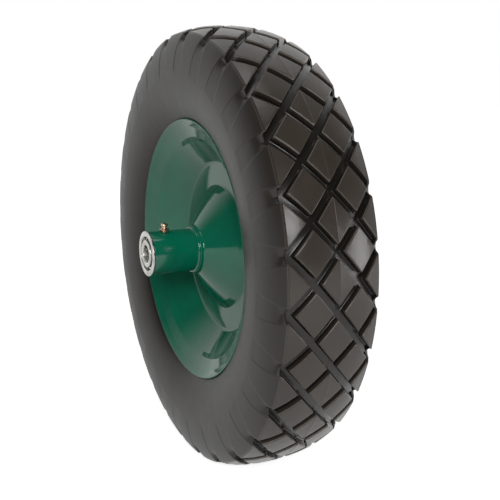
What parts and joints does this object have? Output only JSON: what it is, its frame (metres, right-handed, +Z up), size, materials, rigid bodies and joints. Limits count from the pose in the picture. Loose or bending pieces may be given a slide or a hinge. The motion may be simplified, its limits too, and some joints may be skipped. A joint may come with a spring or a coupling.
{
  "type": "flat-free wheelbarrow wheel",
  "caption": "Flat-free wheelbarrow wheel: solid foam tyre with diamond tread on a green pressed steel rim, greased hub tube with flanged ball bearings.",
  "frame": {"origin": "the wheel's centre, on the axle's axis at the mid-plane", "axes": "Y along the axle, with the grease nipple's side facing -Y; +Z up through the nipple's side of the tube"},
  "size_m": [0.3998, 0.1524, 0.3998],
  "materials": {
    "tyre": "satin moulded foam skin",
    "green_paint": "gloss paint",
    "bright_steel": "bright plated",
    "ball_steel": "polished",
    "brass": "plated"
  },
  "bodies": {
    "wheel": {"tyre": "tyre", "rim_half_front": "green_paint", "rim_half_back": "green_paint", "hub_tube": "green_paint", "neck_weld_front": "green_paint", "neck_weld_back": "green_paint", "outer_race_front": "bright_steel", "outer_race_back": "bright_steel", "grease_nipple": "brass"},
    "inner_race_front": {"inner_race_front": "bright_steel"},
    "ball_ring_front": {"ball_front_01": "ball_steel", "ball_front_02": "ball_steel", "ball_front_03": "ball_steel", "ball_front_04": "ball_steel", "ball_front_05": "ball_steel", "ball_front_06": "ball_steel", "ball_front_07": "ball_steel", "ball_front_08": "ball_steel", "ball_front_09": "ball_steel", "ball_front_10": "ball_steel", "ball_front_11": "ball_steel", "ball_front_12": "ball_steel"},
    "inner_race_back": {"inner_race_back": "bright_steel"},
    "ball_ring_back": {"ball_back_01": "ball_steel", "ball_back_02": "ball_steel", "ball_back_03": "ball_steel", "ball_back_04": "ball_steel", "ball_back_05": "ball_steel", "ball_back_06": "ball_steel", "ball_back_07": "ball_steel", "ball_back_08": "ball_steel", "ball_back_09": "ball_steel", "ball_back_10": "ball_steel", "ball_back_11": "ball_steel", "ball_back_12": "ball_steel"}
  },
  "joints": [
    {"name": "front_race_spin", "type": "hinge", "parent": "wheel", "child": "inner_race_front", "pos_m": [0, -0.07022, 0], "axis": [0, 1, 0], "continuous": true},
    {"name": "front_ball_orbit", "type": "hinge", "parent": "wheel", "child": "ball_ring_front", "pos_m": [0, -0.07022, 0], "axis": [0, 1, 0], "continuous": true},
    {"name": "back_race_spin", "type": "hinge", "parent": "wheel", "child": "inner_race_back", "pos_m": [0, 0.07022, 0], "axis": [0, 1, 0], "continuous": true},
    {"name": "back_ball_orbit", "type": "hinge", "parent": "wheel", "child": "ball_ring_back", "pos_m": [0, 0.07022, 0], "axis": [0, 1, 0], "continuous": true}
  ],
  "couplings": [
    {"joint": "front_ball_orbit", "follows": "front_race_spin", "ratio": 0.37859},
    {"joint": "back_ball_orbit", "follows": "back_race_spin", "ratio": 0.37859}
  ]
}
